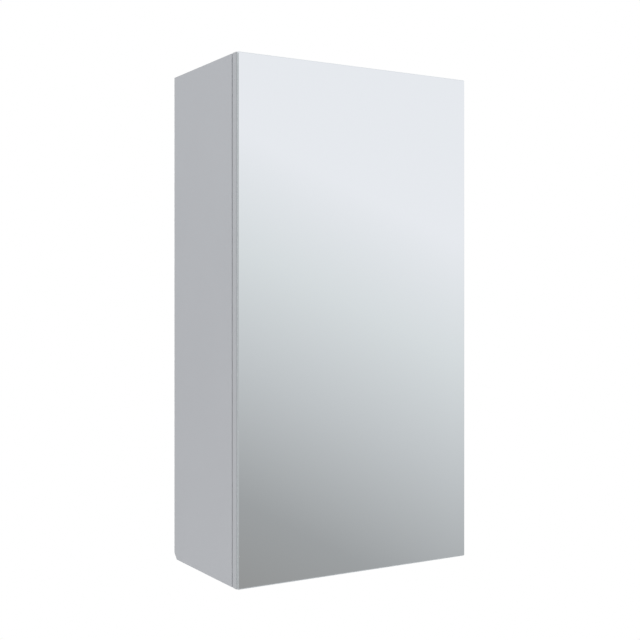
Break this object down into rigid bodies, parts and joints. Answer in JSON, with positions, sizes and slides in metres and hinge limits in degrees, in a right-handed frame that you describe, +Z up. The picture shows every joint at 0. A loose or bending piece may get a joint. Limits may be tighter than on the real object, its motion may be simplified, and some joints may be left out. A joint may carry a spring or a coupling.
{
  "type": "mirror cabinet",
  "caption": "Wall-hung cabinet with a full-face mirror door on concealed hinges, glass shelves, a push latch and height-adjusting hangers.",
  "frame": {"origin": "centre of the rectangle of the four wall screws, on the wall plane", "axes": "+X to the right as seen from the front, +Y into the wall, +Z up"},
  "size_m": [0.4, 0.219, 0.75],
  "materials": {
    "carcass_board": "light grey melamine-faced particle board",
    "edge_strip": "light grey edge strip",
    "back_board": "light grey coated fibreboard",
    "door_board": "light grey melamine-faced board",
    "mirror": "silvered float glass with a polished arris",
    "tape": "dark foam mounting tape",
    "shelf_glass": "clear float glass with ground edges",
    "dowel_wood": "fluted beech",
    "zinc": "zinc alloy and zinc-plated steel",
    "nickel_steel": "nickel-plated steel",
    "galvanised_steel": "galvanised steel",
    "cap_plastic": "light grey moulded plastic",
    "grey_plastic": "mid grey moulded plastic",
    "white_plastic": "white moulded plastic",
    "spring_steel": "bright spring wire",
    "soft_rubber": "soft grey rubber",
    "clear_pad": "soft clear plastic"
  },
  "bodies": {
    "cabinet": {"side_panel_left": "carcass_board", "side_panel_right": "carcass_board", "top_panel": "carcass_board", "bottom_panel": "carcass_board", "back_panel": "back_board", "edge_band_left": "edge_strip", "edge_band_right": "edge_strip", "edge_band_top": "edge_strip", "edge_band_bottom": "edge_strip", "wood_dowels": "dowel_wood", "cam_bolts": "zinc", "cam_locks": "zinc", "cam_caps": "cap_plastic", "hinge_plate_upper": "nickel_steel", "hinge_plate_lower": "nickel_steel", "hinge_arm_upper": "nickel_steel", "hinge_arm_lower": "nickel_steel", "hinge_plate_screws": "nickel_steel", "hinge_arm_screws": "nickel_steel", "latch_housing": "grey_plastic", "latch_screws": "nickel_steel", "latch_spring": "spring_steel", "shelf_pins_upper": "nickel_steel", "shelf_pins_lower": "nickel_steel", "shelf_pads_upper": "clear_pad", "shelf_pads_lower": "clear_pad", "hanger_housing_left": "white_plastic", "hanger_housing_right": "white_plastic", "hanger_jack_screws": "zinc", "hanger_fixing_screws": "zinc"},
    "wall_fixings": {"wall_plate_left": "galvanised_steel", "wall_plate_right": "galvanised_steel", "hanger_hook_left": "galvanised_steel", "hanger_hook_right": "galvanised_steel"},
    "door": {"door_board": "door_board", "door_band_left": "edge_strip", "door_band_right": "edge_strip", "door_band_top": "edge_strip", "door_band_bottom": "edge_strip", "mirror_tape": "tape", "mirror_glass": "mirror", "hinge_cup_upper": "nickel_steel", "hinge_cup_lower": "nickel_steel", "hinge_pins": "nickel_steel", "hinge_cup_screws": "nickel_steel", "latch_strike": "galvanised_steel", "door_bumpers": "clear_pad"},
    "latch_plunger": {"latch_plunger": "white_plastic", "latch_tip": "soft_rubber"},
    "shelf_upper": {"shelf_upper": "shelf_glass"},
    "shelf_lower": {"shelf_lower": "shelf_glass"}
  },
  "joints": [
    {"name": "cabinet_height", "type": "slide", "parent": "wall_fixings", "child": "cabinet", "axis": [0, 0, 1], "range_m": [-0.005, 0.005]},
    {"name": "door_swing", "type": "hinge", "parent": "cabinet", "child": "door", "pos_m": [0.194, -0.2095, -0.315], "axis": [0, 0, 1], "range_deg": [0, 105]},
    {"name": "latch_push", "type": "slide", "parent": "cabinet", "child": "latch_plunger", "axis": [0, -1, 0], "range_m": [0, 0.02], "deforming": ["latch_spring"]},
    {"name": "shelf_upper_lift", "type": "slide", "parent": "cabinet", "child": "shelf_upper", "axis": [0, 0, 1], "range_m": [0, 0.03]},
    {"name": "shelf_lower_lift", "type": "slide", "parent": "cabinet", "child": "shelf_lower", "axis": [0, 0, 1], "range_m": [0, 0.03]}
  ],
  "couplings": [
    {"joint": "latch_push", "follows": "door_swing", "m_per_rad": 0.0109}
  ]
}
